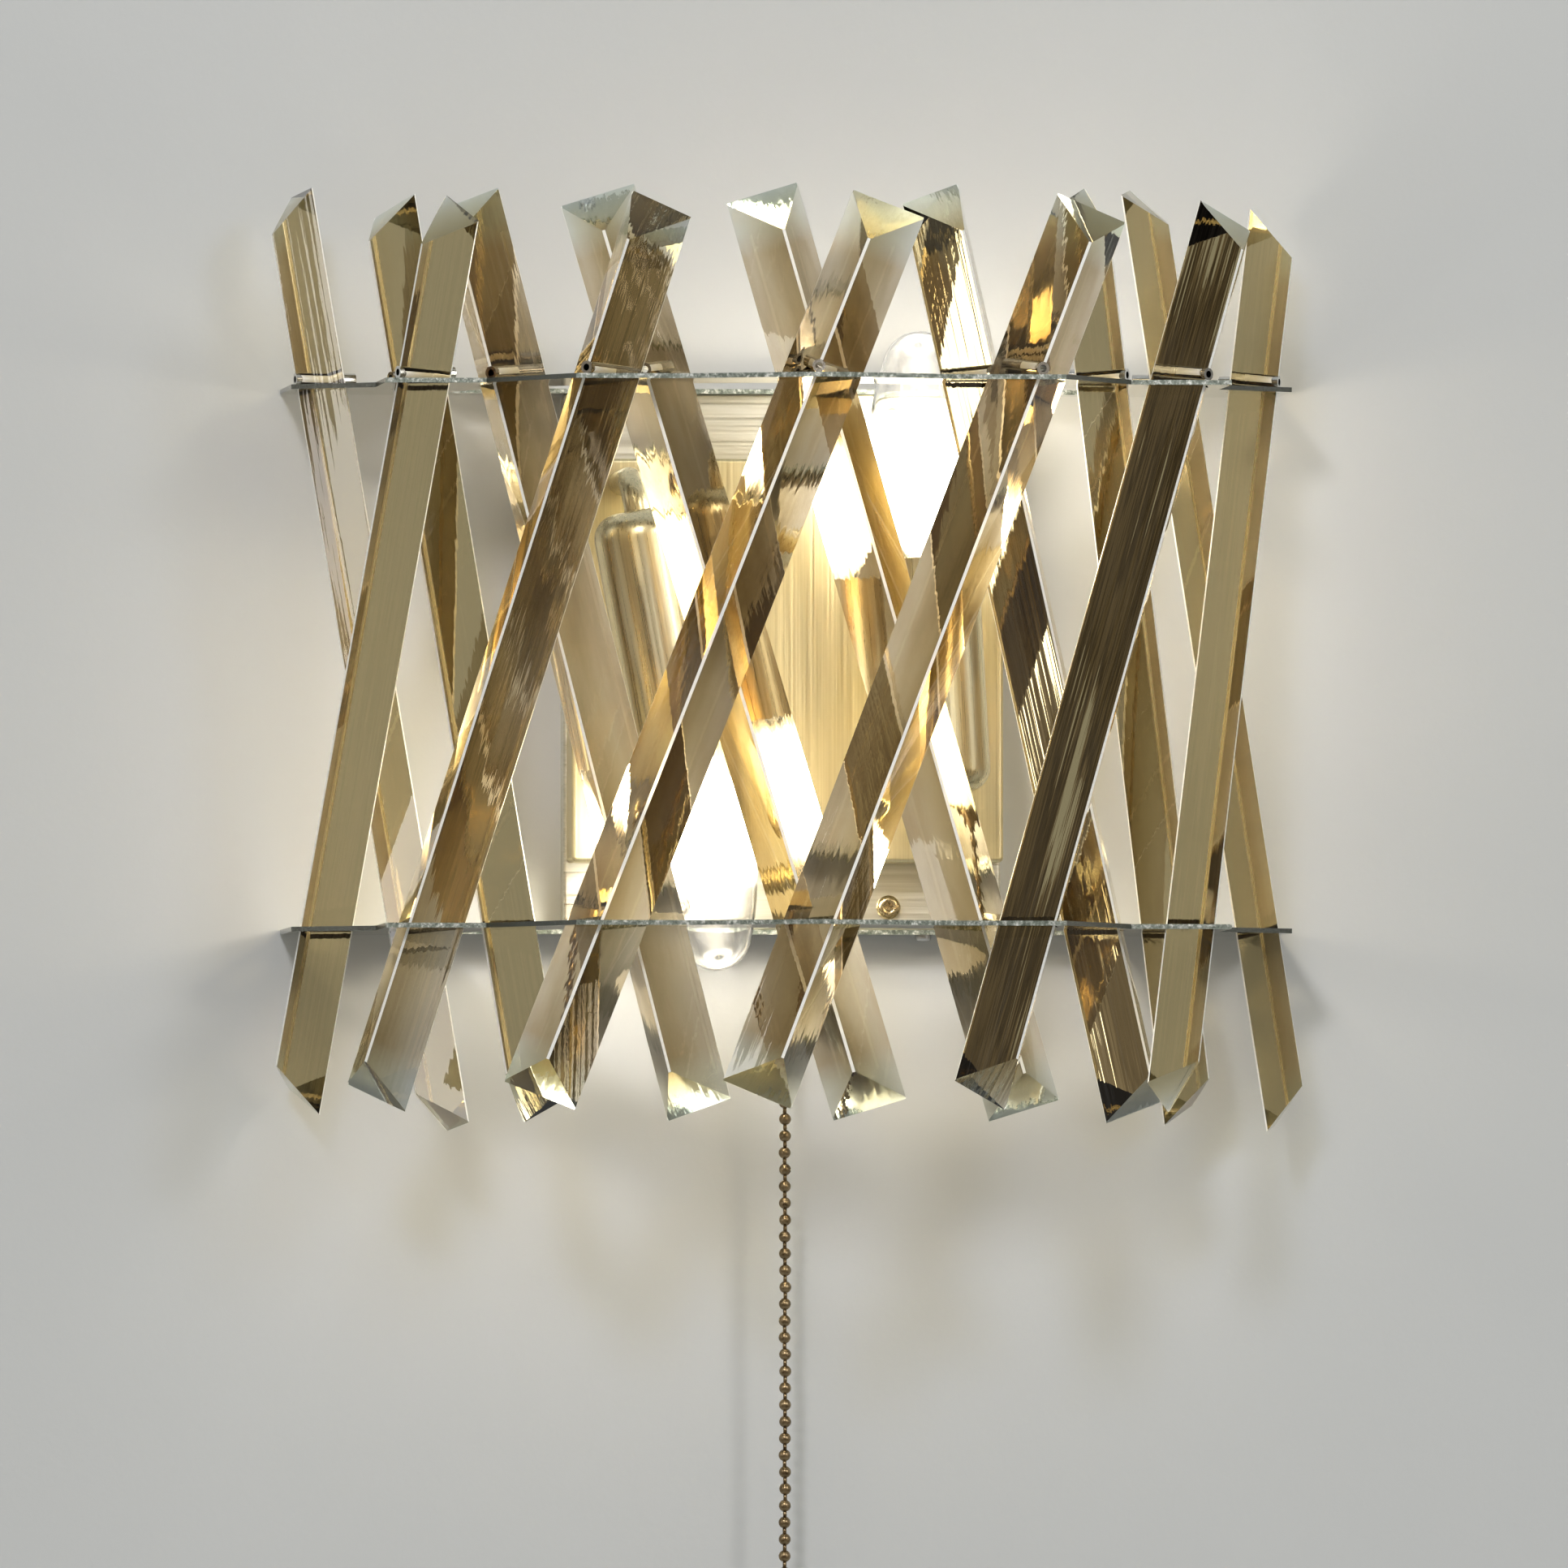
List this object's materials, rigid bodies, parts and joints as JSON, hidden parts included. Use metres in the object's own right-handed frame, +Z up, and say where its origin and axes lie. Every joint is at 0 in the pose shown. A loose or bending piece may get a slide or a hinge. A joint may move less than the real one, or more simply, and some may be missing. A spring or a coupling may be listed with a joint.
{
  "type": "crystal wall sconce",
  "caption": "Wall light with crossing mitred glass prisms hung in two level metal plates around a brushed brass box with candle bulbs and a bead pull chain.",
  "frame": {"origin": "on the wall, midway between the two fixing slots of the wall bracket", "axes": "+Z up, -Y out of the wall into the room, +X to the right as seen from the room"},
  "size_m": [0.325, 0.173, 0.4625],
  "materials": {
    "crystal": "polished smoky crystal",
    "pin_chrome": "polished",
    "plate_metal": "mirror polished, cut edges",
    "brushed_brass": "brushed",
    "cup_brass": "satin",
    "brass_screw": "satin",
    "chain_brass": "antique",
    "bulb_glass": "clear",
    "filament": "glowing",
    "cap_metal": "rolled thread",
    "holder_black": "moulded",
    "block_white": "moulded",
    "lead_sheath": "extruded",
    "zinc_steel": "zinc plated"
  },
  "bodies": {
    "fixture": {"base_pan": "brushed_brass", "bottom_plate": "plate_metal", "bulb_cap_left": "cap_metal", "bulb_cap_right": "cap_metal", "bulb_glass_left": "bulb_glass", "bulb_glass_right": "bulb_glass", "bulb_support_left": "bulb_glass", "bulb_support_right": "bulb_glass", "cover_box": "brushed_brass", "cover_screws": "zinc_steel", "cup_left": "cup_brass", "cup_nuts": "zinc_steel", "cup_right": "cup_brass", "earth_screw": "zinc_steel", "earth_washer": "zinc_steel", "filament_left": "filament", "filament_right": "filament", "holder_left": "holder_black", "holder_right": "holder_black", "lamp_lead_left": "lead_sheath", "lamp_lead_right": "lead_sheath", "pan_screws": "brass_screw", "plate_screws": "zinc_steel", "rod_back_1": "crystal", "rod_back_2": "crystal", "rod_back_3": "crystal", "rod_back_4": "crystal", "rod_back_5": "crystal", "rod_back_6": "crystal", "rod_back_7": "crystal", "rod_back_8": "crystal", "rod_front_1": "crystal", "rod_front_2": "crystal", "rod_front_3": "crystal", "rod_front_4": "crystal", "rod_front_5": "crystal", "rod_front_6": "crystal", "rod_pins": "pin_chrome", "stem_left": "cup_brass", "stem_nuts": "zinc_steel", "stem_right": "cup_brass", "switch_body": "block_white", "switch_ferrule": "chain_brass", "switch_lead": "lead_sheath", "switch_nut": "chain_brass", "switch_spring": "zinc_steel", "terminal_block": "block_white", "terminal_screws": "zinc_steel", "top_plate": "plate_metal", "wall_bracket": "zinc_steel"},
    "pull": {"switch_plunger": "zinc_steel", "pull_chain": "chain_brass", "chain_bell": "chain_brass"}
  },
  "joints": [
    {"name": "chain_pull", "type": "slide", "parent": "fixture", "child": "pull", "axis": [0, 0, -1], "range_m": [0, 0.008], "stiffness_N_per_m": 700, "springref_m": -0.003, "deforming": ["switch_spring"]}
  ]
}
